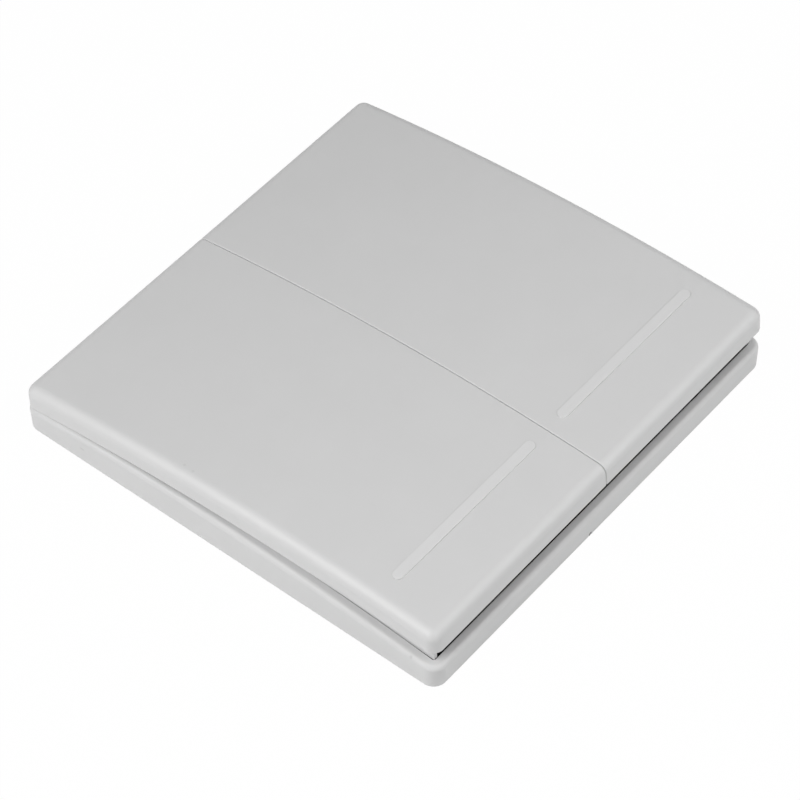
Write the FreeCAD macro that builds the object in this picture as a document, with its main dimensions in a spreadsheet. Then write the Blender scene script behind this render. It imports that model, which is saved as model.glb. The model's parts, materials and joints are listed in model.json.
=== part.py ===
import FreeCAD, Part
import math
import os
import Sketcher

# A wireless wall switch lying on its back: +Z points out of the wall and
# +Y up the wall, towards the end of the rockers that carries the bars.
doc = FreeCAD.newDocument("wireless_wall_switch")
sheet = doc.addObject("Spreadsheet::Sheet", "dims")

# sizes, in millimetres and degrees; skirt_reach follows from the tray it stands in and
# bar_centre is measured from the middle of the rocker
driving = [
    # housing
    ("housing_side", "80.0"),
    ("housing_corner", "2.2"),
    ("housing_wall", "1.7"),
    ("housing_floor", "1.2"),
    ("housing_draft", "1.2"),
    ("tray_corner", "0.4"),
    ("arch_radius", "376.0"),
    ("rim_crest", "6.55"),
    ("rim_round", "0.85"),
    ("foot_round", "0.3"),
    ("screw_spacing", "60.0"),
    ("screw_hole_radius", "2.1"),
    ("notch_centre", "3.6"),
    ("notch_width", "0.5"),
    ("notch_low", "0.1"),
    ("notch_height", "0.4"),
    ("notch_depth", "2.5"),
    ("catch_centre", "20.0"),
    ("catch_length", "8.0"),
    ("catch_reach", "0.5"),
    ("catch_height", "0.9"),
    ("catch_play", "0.05"),
    # rockers
    ("rocker_side_inset", "0.12"),
    ("rocker_end_inset", "0.3"),
    ("rocker_lift", "2.08"),
    ("rocker_height", "3.7"),
    ("rocker_corner", "1.9"),
    ("rocker_draft", "1.7"),
    ("rocker_skin", "1.5"),
    ("rocker_wall", "1.4"),
    ("rocker_edge_round", "1.7"),
    ("seam_gap", "0.1"),
    ("seam_edge_round", "0.15"),
    ("seam_wall_lift", "1.6"),
    ("rib_across", "9.0"),
    ("rib_thickness", "1.0"),
    ("rib_height", "0.7"),
    ("skirt_play", "0.12"),
    ("skirt_thickness", "0.7"),
    ("skirt_end_play", "0.3"),
    ("skirt_reach", "=housing_side / 2 - housing_wall - skirt_end_play"),
    ("skirt_depth", "3.7"),
    ("rest_tilt", "2.4"),
    ("bar_length", "32.0"),
    ("bar_width", "1.75"),
    ("bar_centre", "-0.865"),
    ("bar_reach", "28.7"),
    ("bar_height", "0.15"),
    ("bar_edge_round", "0.05"),
    # pivots
    ("pivot_rise", "1.4"),
    ("pin_radius", "1.0"),
    ("pin_play", "0.1"),
    ("pin_length", "2.0"),
    ("leg_thickness", "1.6"),
    ("leg_width", "4.0"),
    ("leg_play", "0.4"),
    ("leg_floor_play", "0.2"),
    ("ear_thickness", "1.8"),
    ("ear_wall", "1.0"),
    ("ear_rise", "1.5"),
    ("ear_play", "0.75"),
    ("snap_opening", "1.7"),
    ("nub_radius", "1.5"),
    ("nub_play", "0.05"),
    # chassis
    ("chassis_play", "0.3"),
    ("chassis_corner", "0.8"),
    ("chassis_wall", "1.2"),
    ("flange_seat", "0.9"),
    ("flange_thickness", "1.2"),
    ("seat_size", "4.0"),
    ("deck_side_step", "1.1"),
    ("deck_end_step", "5.4"),
    ("deck_rise", "4.9"),
    ("deck_thickness", "1.2"),
    ("window_play", "0.5"),
    ("boss_radius", "1.9"),
    ("boss_height", "3.2"),
    # circuit board and its screws
    ("board_play", "0.5"),
    ("board_thickness", "0.8"),
    ("board_screw_across", "26.0"),
    ("board_screw_along", "12.0"),
    ("board_screw_radius", "0.85"),
    ("board_screw_depth", "2.8"),
    ("board_hole_play", "0.25"),
    ("screw_head_radius", "1.7"),
    ("screw_head_height", "1.1"),
    ("screw_cross_width", "0.5"),
    ("screw_cross_depth", "0.5"),
    # tact switches
    ("tact_inset", "9.3"),
    ("tact_side", "6.0"),
    ("tact_base_height", "1.7"),
    ("tact_cover_thickness", "0.25"),
    ("tact_cover_step", "0.1"),
    ("plunger_radius", "1.7"),
    ("plunger_play", "0.1"),
    ("plunger_stand", "0.55"),
    ("plunger_collar", "0.5"),
    ("plunger_collar_height", "0.4"),
    ("plunger_well_depth", "1.0"),
    ("terminal_width", "1.0"),
    ("terminal_length", "1.2"),
    ("terminal_thickness", "0.25"),
    ("terminal_height", "0.9"),
    ("terminal_pitch", "4.5"),
    # battery
    ("cell_radius", "10.0"),
    ("cell_thickness", "3.2"),
    ("cell_cap_radius", "8.7"),
    ("cell_cap_height", "0.25"),
    ("contact_radius", "6.0"),
    ("contact_thickness", "0.1"),
    ("clip_play", "0.2"),
    ("clip_thickness", "0.25"),
    ("clip_width", "11.0"),
    ("clip_foot", "2.2"),
    ("clip_window_length", "12.0"),
    ("clip_window_width", "5.0"),
    # small parts under the board
    ("chip_across", "17.0"),
    ("chip_along", "14.0"),
    ("chip_length", "4.9"),
    ("chip_width", "3.9"),
    ("chip_height", "1.4"),
    ("chip_stand", "0.15"),
    ("lead_pitch", "1.27"),
    ("lead_width", "0.42"),
    ("lead_thickness", "0.2"),
    ("lead_foot", "1.0"),
    ("lead_rise", "0.8"),
    ("resonator_side", "3.8"),
    ("resonator_height", "1.3"),
    ("small_length", "1.6"),
    ("small_width", "0.8"),
    ("capacitor_height", "0.8"),
    ("resistor_height", "0.5"),
    ("small_pitch", "2.6"),
    ("antenna_inset", "1.2"),
    ("antenna_width", "1.2"),
    ("antenna_thickness", "0.08"),
]
for row, (alias, number) in enumerate(driving, start=1):
    sheet.set(f"A{row}", alias.replace("_", " "))
    sheet.set(f"B{row}", number)
    sheet.setAlias(f"B{row}", alias)
doc.recompute()


class Size:
    # a value that also carries the expression it comes from
    def __init__(self, text, value):
        self.text = text
        self.value = value

    def __add__(self, other):
        other = as_size(other)
        return Size(f"({self.text} + {other.text})", self.value + other.value)

    def __radd__(self, other):
        return as_size(other) + self

    def __sub__(self, other):
        other = as_size(other)
        return Size(f"({self.text} - {other.text})", self.value - other.value)

    def __rsub__(self, other):
        return as_size(other) - self

    def __mul__(self, other):
        other = as_size(other)
        return Size(f"({self.text} * {other.text})", self.value * other.value)

    def __rmul__(self, other):
        return as_size(other) * self

    def __truediv__(self, other):
        other = as_size(other)
        return Size(f"({self.text} / {other.text})", self.value / other.value)

    def __neg__(self):
        return Size(f"(0 - {self.text})", -self.value)


def as_size(number):
    if isinstance(number, Size):
        return number
    return Size(f"({number})", float(number))


def sine(angle):
    return Size(f"sin({angle.text})", math.sin(math.radians(angle.value)))


def cosine(angle):
    return Size(f"cos({angle.text})", math.cos(math.radians(angle.value)))


def tangent(angle):
    return Size(f"tan({angle.text})", math.tan(math.radians(angle.value)))


def arcsine(ratio):
    return Size(f"asin({ratio.text})", math.degrees(math.asin(ratio.value)))


def root(square):
    return Size(f"sqrt({square.text})", math.sqrt(square.value))


class Sizes:
    pass


s = Sizes()
for alias, number in driving:
    setattr(s, alias, Size(f"dims.{alias}", float(sheet.get(alias))))


def bind(thing, prop, size):
    thing.setExpression(prop, as_size(size).text)


def place(thing, x, y, z, axis=None, angle=0.0):
    # a fixed turn, and a position tied to the sizes
    turn = FreeCAD.Rotation()
    if axis is not None:
        turn = FreeCAD.Rotation(FreeCAD.Vector(*axis), angle)
    thing.Placement = FreeCAD.Placement(FreeCAD.Vector(0, 0, 0), turn)
    bind(thing, "Placement.Base.x", x)
    bind(thing, "Placement.Base.y", y)
    bind(thing, "Placement.Base.z", z)


def new_body(name):
    body = doc.addObject("PartDesign::Body", name)
    body.Label = name
    doc.recompute()
    return body


def new_sketch(body, name, role, offset=None):
    sketch = body.newObject("Sketcher::SketchObject", name)
    plane = next(o for o in body.Origin.OriginFeatures if o.Role == role)
    sketch.AttachmentSupport = [(plane, "")]
    sketch.MapMode = "FlatFace"
    if offset is not None:
        bind(sketch, "AttachmentOffset.Base.z", offset)
    return sketch


def pin_point(sketch, geometry, position, x, y):
    number = sketch.addConstraint(Sketcher.Constraint("DistanceX", -1, 1, geometry, position, x.value))
    bind(sketch, f"Constraints[{number}]", x)
    number = sketch.addConstraint(Sketcher.Constraint("DistanceY", -1, 1, geometry, position, y.value))
    bind(sketch, f"Constraints[{number}]", y)


def draw(sketch, corners, bends=None):
    # a closed outline; bends gives the radius and turn of the edges that are arcs,
    # and for a half circle where its centre lies along X
    bends = bends or {}
    corners = [(as_size(x), as_size(y)) for x, y in corners]
    count = len(corners)
    first = sketch.GeometryCount
    ends = []
    for i in range(count):
        p = FreeCAD.Vector(corners[i][0].value, corners[i][1].value, 0)
        q = FreeCAD.Vector(corners[(i + 1) % count][0].value, corners[(i + 1) % count][1].value, 0)
        if i not in bends:
            sketch.addGeometry(Part.LineSegment(p, q), False)
            ends.append((1, 2))
            continue
        radius, turn = bends[i][:2]
        along = q - p
        left = FreeCAD.Vector(-along.y, along.x, 0).normalize()
        height = math.sqrt(max(radius.value ** 2 - (along.Length / 2) ** 2, 0.0))
        centre = (p + q) * 0.5 + left * (height * turn)
        a = math.atan2(p.y - centre.y, p.x - centre.x)
        b = math.atan2(q.y - centre.y, q.x - centre.x)
        circle = Part.Circle(centre, FreeCAD.Vector(0, 0, 1), radius.value)
        if turn > 0:
            sketch.addGeometry(Part.ArcOfCircle(circle, a, b), False)
            ends.append((1, 2))
        else:
            sketch.addGeometry(Part.ArcOfCircle(circle, b, a), False)
            ends.append((2, 1))
    for i in range(count):
        j = (i + 1) % count
        sketch.addConstraint(Sketcher.Constraint("Coincident", first + i, ends[i][1], first + j, ends[j][0]))
    for i in range(count):
        pin_point(sketch, first + i, ends[i][0], *corners[i])
        if i not in bends:
            continue
        if len(bends[i]) > 2:
            centre = bends[i][2]
            number = sketch.addConstraint(
                Sketcher.Constraint("DistanceX", -1, 1, first + i, 3, centre.value))
            bind(sketch, f"Constraints[{number}]", centre)
            continue
        radius = bends[i][0]
        number = sketch.addConstraint(Sketcher.Constraint("Radius", first + i, radius.value))
        bind(sketch, f"Constraints[{number}]", radius)


def draw_circle(sketch, x, y, radius):
    x = as_size(x)
    y = as_size(y)
    centre = FreeCAD.Vector(x.value, y.value, 0)
    geometry = sketch.addGeometry(Part.Circle(centre, FreeCAD.Vector(0, 0, 1), radius.value), False)
    pin_point(sketch, geometry, 3, x, y)
    number = sketch.addConstraint(Sketcher.Constraint("Radius", geometry, radius.value))
    bind(sketch, f"Constraints[{number}]", radius)


def draw_rectangle(sketch, x0, x1, y0, y1):
    draw(sketch, [(x0, y0), (x1, y0), (x1, y1), (x0, y1)])


def draw_rounded(sketch, x, y, r):
    # a rectangle about the origin with its corners rounded
    corners = [
        (r - x, -y), (x - r, -y), (x, r - y), (x, y - r),
        (x - r, y), (r - x, y), (-x, y - r), (-x, r - y),
    ]
    draw(sketch, corners, {1: (r, 1), 3: (r, 1), 5: (r, 1), 7: (r, 1)})


def draw_slot(sketch, x, length, width):
    # a round-ended bar along X
    half = (length - width) / 2
    end = width / 2
    corners = [(x - half, -end), (x + half, -end), (x + half, end), (x - half, end)]
    draw(sketch, corners, {1: (end, 1, x + half), 3: (end, 1, x - half)})


def pad(body, name, sketch, length, symmetric=False, taper=None):
    feature = body.newObject("PartDesign::Pad", name)
    feature.Profile = sketch
    bind(feature, "Length", length)
    if symmetric:
        feature.SideType = "Symmetric"
    if taper is not None:
        bind(feature, "TaperAngle", taper)
    doc.recompute()
    return feature


def pocket(body, name, sketch, length, symmetric=False, upward=False):
    before = body.Shape.Volume
    feature = body.newObject("PartDesign::Pocket", name)
    feature.Profile = sketch
    bind(feature, "Length", length)
    feature.Reversed = upward
    if symmetric:
        feature.SideType = "Symmetric"
    doc.recompute()
    if not body.Shape.Volume < before - 1e-6:
        raise RuntimeError(f"{name} cuts nothing")
    return feature


def block(body, name, kind, x, y, z):
    # an added or cut box between two values along each axis
    feature = body.newObject(f"PartDesign::{kind}Box", name)
    bind(feature, "Length", as_size(x[1]) - x[0])
    bind(feature, "Width", as_size(y[1]) - y[0])
    bind(feature, "Height", as_size(z[1]) - z[0])
    place(feature, x[0], y[0], z[0])
    return feature


def drum(body, name, kind, radius, height, x, y, z, axis=None, angle=0.0):
    feature = body.newObject(f"PartDesign::{kind}Cylinder", name)
    bind(feature, "Radius", radius)
    bind(feature, "Height", height)
    place(feature, x, y, z, axis, angle)
    return feature


def round_edges(body, name, radius, test):
    base = body.Tip
    names = [f"Edge{i}" for i, edge in enumerate(base.Shape.Edges, start=1) if test(edge)]
    if not names:
        raise RuntimeError(f"{name} finds no edge")
    feature = body.newObject("PartDesign::Fillet", name)
    feature.Base = (base, names)
    bind(feature, "Radius", radius)
    doc.recompute()
    return feature


def loose_box(name, x, y, z):
    thing = doc.addObject("Part::Box", name)
    bind(thing, "Length", as_size(x[1]) - x[0])
    bind(thing, "Width", as_size(y[1]) - y[0])
    bind(thing, "Height", as_size(z[1]) - z[0])
    place(thing, x[0], y[0], z[0])
    return thing


def loose_drum(name, radius, x, y, z):
    thing = doc.addObject("Part::Cylinder", name)
    bind(thing, "Radius", radius)
    bind(thing, "Height", as_size(z[1]) - z[0])
    place(thing, x, y, z[0])
    return thing


def cut(name, base, tool):
    thing = doc.addObject("Part::Cut", name)
    thing.Base = base
    thing.Tool = tool
    return thing


def fuse(name, things):
    thing = doc.addObject("Part::MultiFuse", name)
    thing.Shapes = things
    return thing


def group(name, things):
    thing = doc.addObject("Part::Compound", name)
    thing.Links = things
    return thing


def about(middle, width):
    return (middle - width / 2, middle + width / 2)


def drop(reach):
    # how far the arch has fallen at a distance from its crest
    return s.arch_radius - root(s.arch_radius * s.arch_radius - reach * reach)


def draw_under_arch(sketch, reach, crest, floor):
    # the field below an arch
    end = crest - drop(reach)
    draw(sketch, [(-reach, end), (reach, end), (reach, floor), (-reach, floor)], {0: (s.arch_radius, -1)})


def draw_over_arch(sketch, reach, crest, ceiling):
    # the field above an arch
    end = crest - drop(reach)
    draw(sketch, [(-reach, end), (reach, end), (reach, ceiling), (-reach, ceiling)], {0: (s.arch_radius, -1)})


def draw_band(sketch, reach, high, low):
    # the strip between two arches
    fall = drop(reach)
    draw(sketch, [(-reach, high - fall), (reach, high - fall), (reach, low - fall), (-reach, low - fall)],
         {0: (s.arch_radius, -1), 2: (s.arch_radius, 1)})


def on_arch(edge, crest):
    # true for an edge that lies on an arched face
    for point in edge.discretize(7):
        fall = s.arch_radius.value - math.sqrt(s.arch_radius.value ** 2 - point.y ** 2)
        if abs(point.z - (crest.value - fall)) > 1e-4:
            return False
    return True


parts = []

# levels above the wall
half = s.housing_side / 2
inner = half - s.housing_wall
flange_bottom = s.housing_floor + s.flange_seat
flange_top = flange_bottom + s.flange_thickness
deck_top = flange_bottom + s.deck_rise
board_top = deck_top - s.deck_thickness
board_bottom = board_top - s.board_thickness
pivot = deck_top + s.pivot_rise
cover_top = board_top + s.tact_base_height + s.tact_cover_thickness
plunger_top = cover_top + s.plunger_stand
bottom_crest = s.rim_crest + s.rocker_lift
top_crest = bottom_crest + s.rocker_height

# reaches from the middle
rocker_x = half - s.rocker_side_inset
rocker_y = half - s.rocker_end_inset
rocker_middle = (rocker_x + s.seam_gap / 2) / 2
deck_x = inner - s.deck_side_step
deck_y = inner - s.deck_end_step
hollow_x = deck_x - s.chassis_wall
hollow_y = deck_y - s.chassis_wall
board_x = hollow_x - s.board_play
board_y = hollow_y - s.board_play
tact_y = board_y - s.tact_inset
ear_inner = s.seam_gap / 2 + s.rocker_wall + s.ear_play
skirt_inner = inner - s.skirt_play - s.skirt_thickness
ear_outer = skirt_inner - s.ear_play - s.ear_thickness
leg_inner = ear_inner + s.ear_thickness + s.leg_play
leg_outer = ear_outer - s.leg_play - s.leg_thickness
bore = s.pin_radius + s.pin_play
wide = half + 2


# housing: a shallow tray, its walls leaning out a little and its rim arched
housing = new_body("housing")
foot = half - s.rim_crest * tangent(s.housing_draft)
sketch = new_sketch(housing, "housing_plan", "XY_Plane")
draw_rounded(sketch, foot, foot, s.housing_corner)
pad(housing, "housing_block", sketch, s.rim_crest + 0.5, taper=s.housing_draft)
sketch = new_sketch(housing, "rim_arch", "YZ_Plane")
draw_over_arch(sketch, wide, s.rim_crest, s.rim_crest + 3)
pocket(housing, "rim_cut", sketch, wide * 2, symmetric=True)
round_edges(housing, "rim_rounding", s.rim_round, lambda e: on_arch(e, s.rim_crest))
round_edges(housing, "foot_rounding", s.foot_round, lambda e: e.BoundBox.ZMax < 1e-6)
sketch = new_sketch(housing, "tray_plan", "XY_Plane", s.housing_floor)
draw_rounded(sketch, inner, inner, s.tray_corner)
pocket(housing, "tray_hollow", sketch, s.rim_crest + 1, upward=True)
for i, (sx, sy) in enumerate([(1, 1), (-1, 1), (-1, -1), (1, -1)], start=1):
    seat_x = sorted([sx * deck_x, sx * (deck_x - s.seat_size)], key=lambda v: v.value)
    seat_y = sorted([sy * (inner + 0.2), sy * (inner - s.seat_size)], key=lambda v: v.value)
    block(housing, f"seat_{i}", "Additive", seat_x, seat_y, (s.housing_floor - 0.2, flange_bottom))
    sketch = new_sketch(housing, f"catch_profile_{i}", "YZ_Plane", sx * s.catch_centre)
    low = flange_top + s.catch_play
    tip = sy * (inner - s.catch_reach)
    root_y = sy * (inner + 0.3)
    draw(sketch, [
        (root_y, low), (tip, low), (tip, low + s.catch_height * 0.3), (root_y, low + s.catch_height),
    ])
    pad(housing, f"catch_{i}", sketch, s.catch_length, symmetric=True)
for i, sy in enumerate([1, -1], start=1):
    drum(housing, f"wall_screw_hole_{i}", "Subtractive", s.screw_hole_radius, s.housing_floor + 1,
         0, sy * s.screw_spacing / 2, -0.5)
block(housing, "pry_notch", "Subtractive", about(s.notch_centre, s.notch_width),
      (foot - s.notch_depth, half + 1), (s.notch_low, s.notch_low + s.notch_height))
doc.recompute()
parts.append(housing)


# chassis: a dark hat-shaped carrier that snaps into the tray and holds the pivots
chassis = new_body("chassis")
brim = inner - s.chassis_play
sketch = new_sketch(chassis, "flange_plan", "XY_Plane", flange_bottom)
draw_rounded(sketch, deck_x, brim, s.chassis_corner)
pad(chassis, "flange", sketch, s.flange_thickness)
sketch = new_sketch(chassis, "deck_plan", "XY_Plane", flange_bottom)
draw_rounded(sketch, deck_x, deck_y, s.chassis_corner)
pad(chassis, "deck", sketch, s.deck_rise)
sketch = new_sketch(chassis, "hollow_plan", "XY_Plane", flange_bottom)
draw_rectangle(sketch, -hollow_x, hollow_x, -hollow_y, hollow_y)
pocket(chassis, "hollow", sketch, s.deck_rise - s.deck_thickness, upward=True)
window_x = s.tact_side / 2 + s.terminal_length + s.window_play
window_y = s.tact_side / 2 + s.window_play
for i, (sx, sy) in enumerate([(1, 1), (-1, 1), (-1, -1), (1, -1)], start=1):
    block(chassis, f"window_{i}", "Subtractive", about(sx * rocker_middle, window_x * 2),
          about(sy * tact_y, window_y * 2), (board_top - 0.5, deck_top + 0.5))
    drum(chassis, f"boss_{i}", "Additive", s.boss_radius, s.boss_height,
         sx * s.board_screw_across, sy * s.board_screw_along, board_top)
    drum(chassis, f"boss_bore_{i}", "Subtractive", s.board_screw_radius, s.board_screw_depth + 0.2,
         sx * s.board_screw_across, sy * s.board_screw_along, board_top)
ear_half = bore + s.ear_wall
for i, (sx, start) in enumerate([(1, ear_inner), (1, ear_outer), (-1, ear_inner), (-1, ear_outer)], start=1):
    low = start if sx > 0 else -(start + s.ear_thickness)
    high = low + s.ear_thickness
    block(chassis, f"ear_{i}", "Additive", (low, high), (-ear_half, ear_half),
          (deck_top - s.deck_thickness / 2, pivot + s.ear_rise))
    drum(chassis, f"ear_bore_{i}", "Subtractive", bore, s.ear_thickness + 0.2, low - 0.1, 0, pivot,
         (0, 1, 0), 90)
    block(chassis, f"ear_mouth_{i}", "Subtractive", (low - 0.1, high + 0.1),
          (-s.snap_opening / 2, s.snap_opening / 2), (pivot, pivot + s.ear_rise + 1))
doc.recompute()
parts.append(chassis)


# rockers: arched shells that see-saw on stub pins, each with an inner skirt that
# runs down inside the tray's wall; modelled about the pivot line, then tilted to
# where they rest, with the end away from the bars down
def make_rocker(name, side):
    body = new_body(name)
    crest = top_crest - pivot
    lower = bottom_crest - pivot
    base = lower - drop(rocker_y) - 0.3
    sketch = new_sketch(body, f"{name}_plan", "XY_Plane", base)
    draw_rounded(sketch, rocker_x, rocker_y, s.rocker_corner)
    pad(body, f"{name}_block", sketch, crest - base + 0.5, taper=-s.rocker_draft)
    far = -side * wide
    near = side * s.seam_gap / 2
    span = sorted([as_size(far), near], key=lambda v: v.value)
    block(body, f"{name}_seam", "Subtractive", span, (-wide, wide), (base - 1, crest + 1))
    sketch = new_sketch(body, f"{name}_top_arch", "YZ_Plane")
    draw_over_arch(sketch, wide, crest, crest + 3)
    pocket(body, f"{name}_top", sketch, wide * 2, symmetric=True)
    sketch = new_sketch(body, f"{name}_bottom_arch", "YZ_Plane")
    draw_under_arch(sketch, wide, lower, base - 3)
    pocket(body, f"{name}_bottom", sketch, wide * 2, symmetric=True)
    seam = side * s.seam_gap.value / 2

    def on_seam(edge):
        return max(abs(p.x - seam) for p in edge.discretize(5)) < 1e-4

    round_edges(body, f"{name}_edge", s.rocker_edge_round, lambda e: on_arch(e, crest) and not on_seam(e))
    round_edges(body, f"{name}_seam_edge", s.seam_edge_round, lambda e: on_seam(e) and on_arch(e, crest))
    cave_y = rocker_y - s.rocker_wall
    sketch = new_sketch(body, f"{name}_cave_arch", "YZ_Plane", side * rocker_middle)
    draw_under_arch(sketch, cave_y, crest - s.rocker_skin, base - 3)
    pocket(body, f"{name}_cave", sketch, (rocker_x - s.seam_gap / 2) - s.rocker_wall * 2, symmetric=True)
    # the wall along the seam stops short, so that it clears the deck when tilted
    seam_wall = s.seam_gap / 2 + s.rocker_wall / 2
    sketch = new_sketch(body, f"{name}_seam_relief_arch", "YZ_Plane", side * seam_wall)
    draw_under_arch(sketch, cave_y, lower + s.seam_wall_lift, base - 3)
    pocket(body, f"{name}_seam_relief", sketch, s.rocker_wall + 0.2, symmetric=True)
    skin_middle = crest - s.rocker_skin / 2
    sketch = new_sketch(body, f"{name}_skirt_arch", "YZ_Plane", side * (skirt_inner + s.skirt_thickness / 2))
    draw_band(sketch, s.skirt_reach, skin_middle, lower - s.skirt_depth)
    pad(body, f"{name}_skirt", sketch, s.skirt_thickness, symmetric=True)
    for tag, step in [("inner", -side), ("outer", side)]:
        rib_x = side * rocker_middle + step * s.rib_across
        sketch = new_sketch(body, f"{name}_rib_arch_{tag}", "YZ_Plane", rib_x)
        draw_band(sketch, cave_y + s.rocker_wall / 2, skin_middle, crest - s.rocker_skin - s.rib_height)
        pad(body, f"{name}_rib_{tag}", sketch, s.rib_thickness, symmetric=True)
    for tag, start in [("inner", leg_inner), ("outer", leg_outer)]:
        low = start if side > 0 else -(start + s.leg_thickness)
        block(body, f"{name}_leg_{tag}", "Additive", (low, low + s.leg_thickness), about(as_size(0), s.leg_width),
              (s.leg_floor_play - s.pivot_rise, skin_middle))
        toward = -side if tag == "inner" else side
        face = low if toward < 0 else low + s.leg_thickness
        begin = face - s.pin_length if toward < 0 else face - 0.3
        drum(body, f"{name}_pin_{tag}", "Additive", s.pin_radius, s.pin_length + 0.3, begin, 0, 0, (0, 1, 0), 90)
    nub_low = (plunger_top + s.nub_play - pivot + tact_y * sine(s.rest_tilt)) / cosine(s.rest_tilt)
    nub_low = nub_low + s.nub_radius * tangent(s.rest_tilt)
    for tag, sy in [("upper", 1), ("lower", -1)]:
        drum(body, f"{name}_nub_{tag}", "Additive", s.nub_radius, skin_middle - drop(tact_y) - nub_low,
             side * rocker_middle, sy * tact_y, nub_low)
    sketch = new_sketch(body, f"{name}_bar_plan", "XY_Plane")
    lean = arcsine(s.bar_reach / s.arch_radius)
    sketch.AttachmentOffset = FreeCAD.Placement(
        FreeCAD.Vector(0, 0, 0), FreeCAD.Rotation(FreeCAD.Vector(1, 0, 0), -lean.value))
    bind(sketch, "AttachmentOffset.Rotation.Angle", lean * -1)
    rise = s.rocker_skin / 2
    bind(sketch, "AttachmentOffset.Base.y", s.bar_reach - rise * s.bar_reach / s.arch_radius)
    bind(sketch, "AttachmentOffset.Base.z", crest - drop(s.bar_reach) - rise * cosine(lean))
    draw_slot(sketch, side * (rocker_middle + s.bar_centre), s.bar_length, s.bar_width)
    pad(body, f"{name}_bar", sketch, rise + s.bar_height)
    bar_face = sketch.Placement.multiply(
        FreeCAD.Placement(FreeCAD.Vector(0, 0, rise.value + s.bar_height.value), FreeCAD.Rotation()))
    upright = bar_face.Rotation.multVec(FreeCAD.Vector(0, 0, 1))

    def on_bar_face(edge):
        return max(abs((p - bar_face.Base).dot(upright)) for p in edge.discretize(5)) < 1e-4

    round_edges(body, f"{name}_bar_edge", s.bar_edge_round, on_bar_face)
    place(body, 0, 0, pivot, (1, 0, 0), s.rest_tilt.value)
    bind(body, "Placement.Rotation.Angle", s.rest_tilt)
    doc.recompute()
    parts.append(body)


make_rocker("rocker_right", 1)
make_rocker("rocker_left", -1)


# circuit board under the chassis deck, held by four screws
board = new_body("circuit_board")
sketch = new_sketch(board, "board_plan", "XY_Plane", board_bottom)
draw_rectangle(sketch, -board_x, board_x, -board_y, board_y)
corners = [(1, 1), (-1, 1), (-1, -1), (1, -1)]
for sx, sy in corners:
    draw_circle(sketch, sx * s.board_screw_across, sy * s.board_screw_along,
                s.board_screw_radius + s.board_hole_play)
pad(board, "board_slab", sketch, s.board_thickness)
parts.append(board)

screws = []
for i, (sx, sy) in enumerate(corners, start=1):
    x = sx * s.board_screw_across
    y = sy * s.board_screw_along
    head_low = board_bottom - s.screw_head_height
    head = loose_drum(f"screw_head_{i}", s.screw_head_radius, x, y, (head_low, board_bottom))
    shank = loose_drum(f"screw_shank_{i}", s.board_screw_radius, x, y,
                       (board_bottom - 0.2, board_top + s.board_screw_depth))
    solid = fuse(f"screw_solid_{i}", [head, shank])
    reach = s.screw_head_radius * 0.6
    bar_a = loose_box(f"screw_cross_a_{i}", (x - reach, x + reach), about(y, s.screw_cross_width),
                      (head_low - 0.1, head_low + s.screw_cross_depth))
    bar_b = loose_box(f"screw_cross_b_{i}", about(x, s.screw_cross_width), (y - reach, y + reach),
                      (head_low - 0.1, head_low + s.screw_cross_depth))
    screws.append(cut(f"screw_{i}", solid, fuse(f"screw_cross_{i}", [bar_a, bar_b])))
parts.append(group("board_screws", screws))


# tact switches, one under each end of each rocker
def make_tact(tag, sx, sy):
    x = sx * rocker_middle
    y = sy * tact_y
    base_top = board_top + s.tact_base_height
    block_box = loose_box(f"tact_block_{tag}", about(x, s.tact_side), about(y, s.tact_side), (board_top, base_top))
    collar = s.plunger_radius + s.plunger_collar
    well = loose_drum(f"tact_well_{tag}", collar + s.plunger_play, x, y,
                      (base_top - s.plunger_well_depth, base_top + 0.1))
    parts.append(cut(f"tact_base_{tag}", block_box, well))
    side = s.tact_side - s.tact_cover_step * 2
    plate = loose_box(f"tact_plate_{tag}", about(x, side), about(y, side), (base_top, cover_top))
    eye = loose_drum(f"tact_eye_{tag}", s.plunger_radius + s.plunger_play, x, y, (base_top - 0.1, cover_top + 0.1))
    parts.append(cut(f"tact_cover_{tag}", plate, eye))
    stem = loose_drum(f"plunger_stem_{tag}", s.plunger_radius, x, y, (base_top - 0.1, plunger_top))
    ring = loose_drum(f"plunger_ring_{tag}", collar, x, y, (base_top - s.plunger_collar_height, base_top - 0.02))
    parts.append(fuse(f"tact_plunger_{tag}", [stem, ring]))
    legs = []
    for i, (tx, ty) in enumerate(corners, start=1):
        edge = x + tx * s.tact_side / 2
        ly = y + ty * s.terminal_pitch / 2
        out = edge + tx * s.terminal_length
        inside = edge + tx * s.terminal_thickness
        foot_x = (edge, out) if tx > 0 else (out, edge)
        rise_x = (edge, inside) if tx > 0 else (inside, edge)
        shoe = loose_box(f"terminal_foot_{tag}_{i}", foot_x, about(ly, s.terminal_width),
                         (board_top, board_top + s.terminal_thickness))
        riser = loose_box(f"terminal_rise_{tag}_{i}", rise_x, about(ly, s.terminal_width),
                          (board_top, board_top + s.terminal_height))
        legs.append(fuse(f"terminal_{tag}_{i}", [shoe, riser]))
    parts.append(group(f"tact_terminals_{tag}", legs))


make_tact("upper_right", 1, 1)
make_tact("lower_right", 1, -1)
make_tact("upper_left", -1, 1)
make_tact("lower_left", -1, -1)


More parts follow.
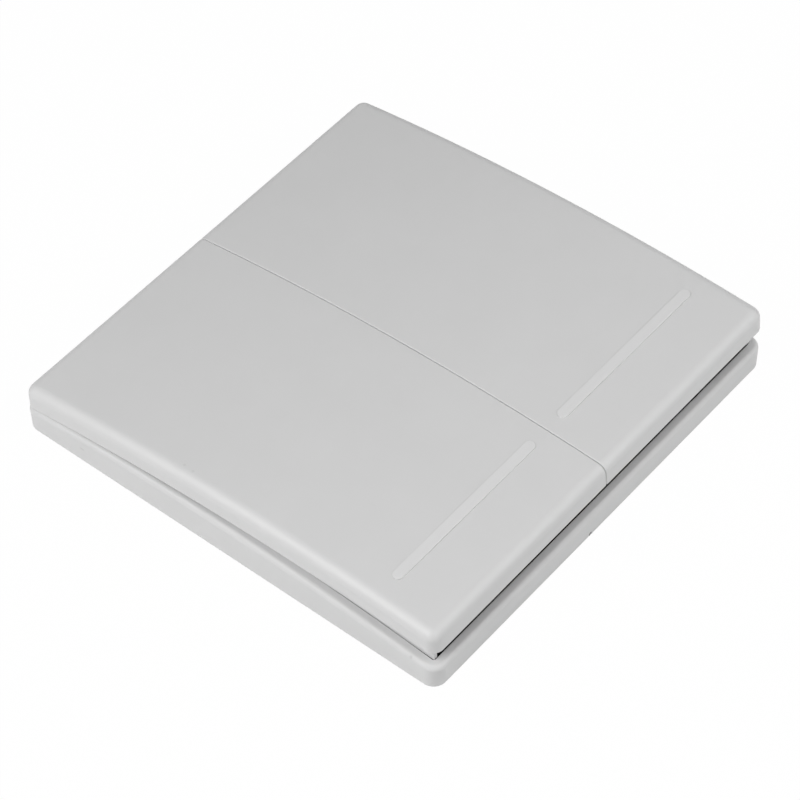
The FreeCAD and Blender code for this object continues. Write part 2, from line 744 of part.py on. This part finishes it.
# battery under the board: the cell sits between a contact disc and a sprung strap
contact_low = board_bottom - s.contact_thickness
parts.append(loose_drum("negative_contact", s.contact_radius, 0, 0, (contact_low, board_bottom)))
cell_low = contact_low - s.cell_thickness
can = loose_drum("cell_can", s.cell_radius, 0, 0, (cell_low, contact_low - s.cell_cap_height))
cap = loose_drum("cell_cap", s.cell_cap_radius, 0, 0, (contact_low - s.cell_cap_height - 0.1, contact_low))
parts.append(fuse("coin_cell", [can, cap]))
clip = new_body("battery_clip")
grip = s.cell_radius + s.clip_play
outer = grip + s.clip_thickness
toe = outer + s.clip_foot
shelf = board_bottom - s.clip_thickness
strap = cell_low - s.clip_thickness
sketch = new_sketch(clip, "clip_profile", "XZ_Plane")
draw(sketch, [
    (-toe, board_bottom), (-toe, shelf), (-outer, shelf), (-outer, strap), (outer, strap), (outer, shelf),
    (toe, shelf), (toe, board_bottom), (grip, board_bottom), (grip, cell_low), (-grip, cell_low),
    (-grip, board_bottom),
])
pad(clip, "clip_band", sketch, s.clip_width, symmetric=True)
block(clip, "clip_window", "Subtractive", about(as_size(0), s.clip_window_length),
      about(as_size(0), s.clip_window_width), (strap - 0.2, cell_low + 0.2))
doc.recompute()
parts.append(clip)


# transmitter parts under the board
chip_x = s.chip_across
chip_y = -s.chip_along
chip_high = board_bottom - s.chip_stand
chip_low = chip_high - s.chip_height
parts.append(loose_box("transmitter_chip", about(chip_x, s.chip_length), about(chip_y, s.chip_width),
                       (chip_low, chip_high)))
leads = []
for i in range(4):
    lx = chip_x + (i - 1.5) * s.lead_pitch
    for tag, sy in [("front", 1), ("back", -1)]:
        face = chip_y + sy * s.chip_width / 2
        out = face + sy * s.lead_foot
        thin = face + sy * s.lead_thickness
        foot_y = (face, out) if sy > 0 else (out, face)
        rise_y = (face, thin) if sy > 0 else (thin, face)
        shoe = loose_box(f"lead_foot_{tag}_{i}", about(lx, s.lead_width), foot_y,
                         (board_bottom - s.lead_thickness, board_bottom))
        riser = loose_box(f"lead_rise_{tag}_{i}", about(lx, s.lead_width), rise_y,
                          (board_bottom - s.lead_rise, board_bottom))
        leads.append(fuse(f"lead_{tag}_{i}", [shoe, riser]))
parts.append(group("chip_leads", leads))
parts.append(loose_box("resonator", about(-chip_x, s.resonator_side), about(chip_y, s.resonator_side),
                       (board_bottom - s.resonator_height, board_bottom)))
for name, height, sy in [("chip_capacitors", s.capacitor_height, 1), ("chip_resistors", s.resistor_height, -1)]:
    small = []
    for i in range(5):
        x = (i - 2) * s.small_pitch
        y = sy * (s.cell_radius + s.small_length * 2)
        small.append(loose_box(f"{name}_{i}", about(x, s.small_width), about(y, s.small_length),
                               (board_bottom - height, board_bottom)))
    parts.append(group(name, small))
aerial = new_body("loop_antenna")
ax = board_x - s.antenna_inset
ay = board_y - s.antenna_inset
sketch = new_sketch(aerial, "antenna_plan", "XY_Plane", board_bottom - s.antenna_thickness)
draw_rectangle(sketch, -ax, ax, -ay, ay)
draw_rectangle(sketch, s.antenna_width - ax, ax - s.antenna_width, s.antenna_width - ay, ay - s.antenna_width)
pad(aerial, "antenna_track", sketch, s.antenna_thickness)
parts.append(aerial)

doc.recompute()
for thing in doc.Objects:
    if "Invalid" in thing.State or "Error" in thing.State:
        raise RuntimeError(f"{thing.Name} did not build: {thing.State}")
os.makedirs("parts", exist_ok=True)
for thing in parts:
    thing.Label = thing.Name
    shape = thing.Shape
    if shape.isNull() or not shape.isValid() or not shape.Solids:
        raise RuntimeError(f"{thing.Name} has no good solid")
    shape.exportStep(f"parts/{thing.Name}.step")
    print(thing.Name, len(shape.Solids), round(shape.Volume, 2))
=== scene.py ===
import json
import math
import bpy
from mathutils import Matrix, Vector

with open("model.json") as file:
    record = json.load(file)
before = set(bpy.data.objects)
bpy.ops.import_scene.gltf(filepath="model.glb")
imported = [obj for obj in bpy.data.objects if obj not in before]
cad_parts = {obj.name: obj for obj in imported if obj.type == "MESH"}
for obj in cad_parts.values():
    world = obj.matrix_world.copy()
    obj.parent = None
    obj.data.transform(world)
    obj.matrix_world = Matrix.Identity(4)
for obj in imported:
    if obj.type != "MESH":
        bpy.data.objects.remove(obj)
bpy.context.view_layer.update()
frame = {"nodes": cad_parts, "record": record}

nodes = frame["nodes"]
print("frame loaded:", len(nodes), "nodes")


# shader helpers

def newMaterial(name):
    mat = bpy.data.materials.new(name)
    mat.use_nodes = True
    tree = mat.node_tree
    tree.nodes.clear()
    out = tree.nodes.new("ShaderNodeOutputMaterial")
    shader = tree.nodes.new("ShaderNodeBsdfPrincipled")
    tree.links.new(shader.outputs["BSDF"], out.inputs["Surface"])
    return mat, tree, shader


def setPlain(shader, colour, roughness, metallic=0.0, specular=0.5):
    shader.inputs["Base Color"].default_value = (*colour, 1.0)
    shader.inputs["Roughness"].default_value = roughness
    shader.inputs["Metallic"].default_value = metallic
    shader.inputs["Specular IOR Level"].default_value = specular


def objectPoint(tree):
    return tree.nodes.new("ShaderNodeTexCoord").outputs["Object"]


def noiseField(tree, point, scale, detail=2.0):
    noise = tree.nodes.new("ShaderNodeTexNoise")
    noise.inputs["Scale"].default_value = scale
    noise.inputs["Detail"].default_value = detail
    tree.links.new(point, noise.inputs["Vector"])
    return noise.outputs["Fac"]


def remap(tree, value, fromLow, fromHigh, toLow, toHigh):
    node = tree.nodes.new("ShaderNodeMapRange")
    tree.links.new(value, node.inputs["Value"])
    node.inputs["From Min"].default_value = fromLow
    node.inputs["From Max"].default_value = fromHigh
    node.inputs["To Min"].default_value = toLow
    node.inputs["To Max"].default_value = toHigh
    return node.outputs["Result"]


def blendColours(tree, factor, first, second):
    # either colour may be a fixed one or another node's output
    node = tree.nodes.new("ShaderNodeMix")
    node.data_type = "RGBA"
    tree.links.new(factor, node.inputs["Factor"])
    for socket, colour in (("A", first), ("B", second)):
        if isinstance(colour, tuple):
            node.inputs[socket].default_value = (*colour, 1.0)
        else:
            tree.links.new(colour, node.inputs[socket])
    return node.outputs["Result"]


def calc(tree, kind, first, second=None):
    # one sum; each term is a number or another node's output
    node = tree.nodes.new("ShaderNodeMath")
    node.operation = kind
    for i, term in enumerate([first, second]):
        if term is None:
            continue
        if isinstance(term, (int, float)):
            node.inputs[i].default_value = term
        else:
            tree.links.new(term, node.inputs[i])
    return node.outputs[0]


def vectorCalc(tree, kind, first, second=None):
    # one sum on points; the second term is fixed
    node = tree.nodes.new("ShaderNodeVectorMath")
    node.operation = kind
    tree.links.new(first, node.inputs[0])
    if second is not None:
        node.inputs[1].default_value = second
    return node.outputs["Value" if kind == "LENGTH" else "Vector"]


def addBump(tree, shader, height, strength, distance):
    bump = tree.nodes.new("ShaderNodeBump")
    bump.inputs["Strength"].default_value = strength
    bump.inputs["Distance"].default_value = distance
    tree.links.new(height, bump.inputs["Height"])
    tree.links.new(bump.outputs["Normal"], shader.inputs["Normal"])


def grey(value):
    return (value, value, value)


# the raised bars in plan, in metres; they are smoother than the grained rockers, and their paler
# colour is painted sheen standing in for that smoother face's gloss

bars = {
    "across": 0.0191,         # middle of each bar, out from the seam
    "along": 0.02856,
    "length": 0.0320,
    "width": 0.00175,
    "edge": 0.00008,
    # painted sheen: the bars' paler shade stands in for the gloss of their smooth face
    "shade": 0.637,
}


def paintedSheenBarMask(tree, point):
    # 1 on the two bars, where the painted sheen goes, 0 off them
    split = tree.nodes.new("ShaderNodeSeparateXYZ")
    tree.links.new(point, split.inputs[0])
    outward = calc(tree, "ABSOLUTE", split.outputs["X"])
    fromMiddle = calc(tree, "ABSOLUTE", calc(tree, "SUBTRACT", outward, bars["across"]))
    straight = (bars["length"] - bars["width"]) / 2
    dx = calc(tree, "MAXIMUM", calc(tree, "SUBTRACT", fromMiddle, straight), 0.0)
    dy = calc(tree, "SUBTRACT", split.outputs["Y"], bars["along"])
    squares = calc(tree, "ADD", calc(tree, "MULTIPLY", dx, dx), calc(tree, "MULTIPLY", dy, dy))
    away = calc(tree, "SQRT", squares)
    half = bars["width"] / 2
    return remap(tree, away, half - bars["edge"], half + bars["edge"], 1.0, 0.0)


# faint scuffs and specks, and last on the housing painted shade in its foot notch; in metres

marks = {
    "core": 0.5,              # share of a mark's reach that has its full shade
    "housing": [
        {"middle": (0.0399, -0.0272, 0.0061), "reach": (0.0006, 0.0003, 0.0005), "shade": 0.53},
        {"middle": (0.0399, -0.0280, 0.00305), "reach": (0.0006, 0.0006, 0.0003), "shade": 0.53},
        {"middle": (0.0397, 0.0353, 0.0045), "reach": (0.0008, 0.0003, 0.0003), "shade": 0.53},
        # painted shade: darkens the foot notch's recess, where its shadow falls
        {"middle": (0.00375, 0.0399, 0.00048), "reach": (0.00042, 0.0008, 0.00048), "shade": 0.03},
    ],
    "rocker": [
        {"middle": (0.0377, -0.0087, 0.0119), "reach": (0.0003, 0.0003, 0.0004), "shade": 0.55},
        {"middle": (0.0379, -0.0069, 0.0120), "reach": (0.0003, 0.0003, 0.0004), "shade": 0.55},
    ],
}


def softSpot(tree, point, mark):
    # 1 in the middle of a small ellipsoid, 0 outside it
    away = vectorCalc(tree, "SUBTRACT", point, mark["middle"])
    scaled = vectorCalc(tree, "DIVIDE", away, mark["reach"])
    length = vectorCalc(tree, "LENGTH", scaled)
    return remap(tree, length, marks["core"], 1.0, 1.0, 0.0)


# housing and rockers: white plastic

whitePlastic = {
    "shade": 0.60,
    "mottle": 0.012,          # slight unevenness of the moulded colour
    "mottleScale": 90.0,
    "mottleDetail": 3.0,
    "roughness": 0.46,
    "bleed": 0.30,            # share of light that scatters under the skin
    "bleedReach": 0.0008,
    "grainScale": 5200.0,     # fine spark-eroded grain
    "grainStrength": 0.10,
    "grainDepth": 0.00004,
}


def makeWhitePlastic(name, piece):
    mat, tree, shader = newMaterial(name)
    shade = whitePlastic["shade"]
    setPlain(shader, grey(shade), whitePlastic["roughness"])
    shader.inputs["Subsurface Weight"].default_value = whitePlastic["bleed"]
    shader.inputs["Subsurface Radius"].default_value = grey(1.0)
    shader.inputs["Subsurface Scale"].default_value = whitePlastic["bleedReach"]
    point = objectPoint(tree)
    mottle = noiseField(tree, point, whitePlastic["mottleScale"], whitePlastic["mottleDetail"])
    low = grey(shade - whitePlastic["mottle"])
    high = grey(shade + whitePlastic["mottle"])
    colour = blendColours(tree, mottle, low, high)
    if piece == "rocker":
        # painted sheen on the bars
        colour = blendColours(tree, paintedSheenBarMask(tree, point), colour, grey(bars["shade"]))
    for mark in marks[piece]:
        colour = blendColours(tree, softSpot(tree, point, mark), colour, grey(mark["shade"]))
    tree.links.new(colour, shader.inputs["Base Color"])
    grain = noiseField(tree, point, whitePlastic["grainScale"])
    addBump(tree, shader, grain, whitePlastic["grainStrength"], whitePlastic["grainDepth"])
    return mat


# chassis: matt black plastic; its black also serves as painted shade for the deep dark seen
# through the slot under the rockers

blackPlasticAndShade = {
    "low": 0.006,
    "high": 0.012,
    "scale": 300.0,
    "roughness": 0.62,
    "specular": 0.3,
    "grainScale": 4200.0,
    "grainStrength": 0.15,
    "grainDepth": 0.00005,
}


def makeBlackPlasticAndShade(name):
    mat, tree, shader = newMaterial(name)
    setPlain(shader, grey(blackPlasticAndShade["high"]), blackPlasticAndShade["roughness"],
             specular=blackPlasticAndShade["specular"])
    point = objectPoint(tree)
    cloud = noiseField(tree, point, blackPlasticAndShade["scale"])
    colour = blendColours(tree, cloud, grey(blackPlasticAndShade["low"]), grey(blackPlasticAndShade["high"]))
    tree.links.new(colour, shader.inputs["Base Color"])
    grain = noiseField(tree, point, blackPlasticAndShade["grainScale"])
    addBump(tree, shader, grain, blackPlasticAndShade["grainStrength"], blackPlasticAndShade["grainDepth"])
    return mat


# circuit board: green lacquer over the weave

solderMask = {
    "low": (0.012, 0.075, 0.03),
    "high": (0.02, 0.11, 0.045),
    "scale": 260.0,
    "detail": 4.0,
    "roughness": 0.35,
}


def makeSolderMask(name):
    mat, tree, shader = newMaterial(name)
    setPlain(shader, solderMask["high"], solderMask["roughness"])
    weave = noiseField(tree, objectPoint(tree), solderMask["scale"], solderMask["detail"])
    colour = blendColours(tree, weave, solderMask["low"], solderMask["high"])
    tree.links.new(colour, shader.inputs["Base Color"])
    return mat


# contacts, covers, cell, screws and aerial

metals = {
    "plated_steel": {"low": (0.55, 0.55, 0.53), "high": (0.68, 0.67, 0.65), "roughness": 0.32},
    "cell_can": {"low": (0.60, 0.60, 0.60), "high": (0.72, 0.72, 0.72), "roughness": 0.28},
    "tinned_brass": {"low": (0.58, 0.57, 0.54), "high": (0.70, 0.69, 0.66), "roughness": 0.36},
    "copper_track": {"low": (0.60, 0.29, 0.16), "high": (0.70, 0.36, 0.20), "roughness": 0.40},
}
metalGrain = {"scale": 700.0, "detail": 3.0, "strength": 0.08, "depth": 0.00003}


def makeMetal(name):
    tone = metals[name]
    mat, tree, shader = newMaterial(name)
    setPlain(shader, tone["high"], tone["roughness"], metallic=1.0)
    streak = noiseField(tree, objectPoint(tree), metalGrain["scale"], metalGrain["detail"])
    colour = blendColours(tree, streak, tone["low"], tone["high"])
    tree.links.new(colour, shader.inputs["Base Color"])
    addBump(tree, shader, streak, metalGrain["strength"], metalGrain["depth"])
    return mat


# chip, switch bodies, plungers and small components

smallMouldings = {
    "black_moulding": {"low": grey(0.012), "high": grey(0.022), "roughness": 0.55},
    "plunger_plastic": {"low": grey(0.03), "high": grey(0.045), "roughness": 0.48},
    "capacitor_ceramic": {"low": (0.30, 0.20, 0.11), "high": (0.38, 0.27, 0.16), "roughness": 0.5},
}
mouldingCloud = {"scale": 900.0}


def makeSmallMoulding(name):
    tone = smallMouldings[name]
    mat, tree, shader = newMaterial(name)
    setPlain(shader, tone["high"], tone["roughness"])
    cloud = noiseField(tree, objectPoint(tree), mouldingCloud["scale"])
    colour = blendColours(tree, cloud, tone["low"], tone["high"])
    tree.links.new(colour, shader.inputs["Base Color"])
    return mat


finishes = {
    "housing_plastic": makeWhitePlastic("housing_plastic", "housing"),
    "rocker_plastic": makeWhitePlastic("rocker_plastic", "rocker"),
    # the chassis black is partly painted shade inside the slot
    "chassis_plastic": makeBlackPlasticAndShade("chassis_plastic"),
    "board": makeSolderMask("board"),
}
for name in metals:
    finishes[name] = makeMetal(name)
for name in smallMouldings:
    finishes[name] = makeSmallMoulding(name)
for sub in frame["record"]["subparts"]:
    mesh = nodes[sub["node"]].data
    mesh.materials.clear()
    mesh.materials.append(finishes[sub["material_slot"]])
print("finishes set:", len(finishes))


# floor and world

studio = {
    "floorSize": 3.0,
    "floorDrop": 0.00005,     # just under the housing, so that the two faces stay apart
    "floorShade": 0.80,
    "floorGlow": 0.985,       # share of the floor's camera view that is plain white
    "worldLight": 0.145,
}


def rayIsSeen(tree):
    # 1 for what the camera, a reflection or a clear piece looks at
    path = tree.nodes.new("ShaderNodeLightPath").outputs
    straight = calc(tree, "MAXIMUM", path["Is Camera Ray"], path["Is Transmission Ray"])
    return calc(tree, "MAXIMUM", straight, path["Is Glossy Ray"])


def makeFloorPaper():
    mat = bpy.data.materials.new("floorPaper")
    mat.use_nodes = True
    tree = mat.node_tree
    tree.nodes.clear()
    out = tree.nodes.new("ShaderNodeOutputMaterial")
    matte = tree.nodes.new("ShaderNodeBsdfDiffuse")
    matte.inputs["Color"].default_value = (*grey(studio["floorShade"]), 1.0)
    glow = tree.nodes.new("ShaderNodeEmission")
    mix = tree.nodes.new("ShaderNodeMixShader")
    share = calc(tree, "MULTIPLY", rayIsSeen(tree), studio["floorGlow"])
    tree.links.new(share, mix.inputs["Fac"])
    tree.links.new(matte.outputs["BSDF"], mix.inputs[1])
    tree.links.new(glow.outputs["Emission"], mix.inputs[2])
    tree.links.new(mix.outputs["Shader"], out.inputs["Surface"])
    return mat


def makeFloor():
    half = studio["floorSize"] / 2
    mesh = bpy.data.meshes.new("floor")
    corners = [(-half, -half, 0), (half, -half, 0), (half, half, 0), (-half, half, 0)]
    mesh.from_pydata(corners, [], [(0, 1, 2, 3)])
    mesh.materials.append(makeFloorPaper())
    floor = bpy.data.objects.new("floor", mesh)
    bpy.context.scene.collection.objects.link(floor)
    floor.location.z = -studio["floorDrop"]


def makeWorld():
    world = bpy.data.worlds.new("studio")
    bpy.context.scene.world = world
    world.use_nodes = True
    tree = world.node_tree
    tree.nodes.clear()
    out = tree.nodes.new("ShaderNodeOutputWorld")
    sky = tree.nodes.new("ShaderNodeBackground")
    sky.inputs["Color"].default_value = (*grey(1.0), 1.0)
    level = remap(tree, rayIsSeen(tree), 0.0, 1.0, studio["worldLight"], 1.0)
    tree.links.new(level, sky.inputs["Strength"])
    tree.links.new(sky.outputs["Background"], out.inputs["Surface"])


makeFloor()
makeWorld()
print("floor and world made")


def direction(azimuth, elevation):
    # unit vector out from the object, in degrees; azimuth 0 is along -Y and 90 along +X
    a = math.radians(azimuth)
    e = math.radians(elevation)
    return Vector((math.sin(a) * math.cos(e), -math.cos(a) * math.cos(e), math.sin(e)))


# soft boxes to the camera's left and right, and one above the end with the bars

lamps = {
    "left": {"azimuth": 75, "elevation": 42, "distance": 0.50, "size": 0.40, "power": 2.07},
    "right": {"azimuth": 225, "elevation": 19, "distance": 0.45, "size": 0.30, "power": 0.40},
    "front": {"azimuth": 190, "elevation": 50, "distance": 0.32, "size": 0.30, "power": 0.465},
}


def makeLamp(name):
    spec = lamps[name]
    lamp = bpy.data.lights.new(name, "AREA")
    lamp.shape = "SQUARE"
    lamp.size = spec["size"]
    lamp.energy = spec["power"]
    holder = bpy.data.objects.new(name, lamp)
    bpy.context.scene.collection.objects.link(holder)
    way = direction(spec["azimuth"], spec["elevation"])
    holder.location = way * spec["distance"]
    holder.rotation_euler = way.to_track_quat("Z", "Y").to_euler()


for name in lamps:
    makeLamp(name)
print("lamps set:", len(lamps))


# camera where the photograph was taken from

shot = {
    "azimuth": 130.247,
    "elevation": 49.426,
    "roll": -1.282,
    "distance": 0.49807,
    "target": (0.0, 0.0, 0.00694),
    "aside": -4.181,          # image centre's offset in pixels of the 800-pixel frame
    "above": 37.418,
    "focal": 3298.35,         # in the same pixels
    "frame": 800.0,
    "sensor": 36.0,
    "clipStart": 0.01,
}


def makeCamera():
    back = direction(shot["azimuth"], shot["elevation"])
    flat = Vector((0.0, 0.0, 1.0)).cross(back).normalized()
    rise = back.cross(flat)
    roll = math.radians(shot["roll"])
    right = math.cos(roll) * flat + math.sin(roll) * rise
    up = math.cos(roll) * rise - math.sin(roll) * flat
    perPixel = shot["distance"] / shot["focal"]
    eye = Vector(shot["target"]) + back * shot["distance"]
    eye -= right * shot["aside"] * perPixel + up * shot["above"] * perPixel
    cam = bpy.data.cameras.new("camera")
    cam.sensor_width = shot["sensor"]
    cam.lens = shot["focal"] * shot["sensor"] / shot["frame"]
    cam.clip_start = shot["clipStart"]
    holder = bpy.data.objects.new("camera", cam)
    bpy.context.scene.collection.objects.link(holder)
    turn = Matrix((right, up, back)).transposed().to_4x4()
    holder.matrix_world = Matrix.Translation(eye) @ turn
    bpy.context.scene.camera = holder


makeCamera()
bpy.context.scene.view_settings.view_transform = "Standard"
print("camera set")
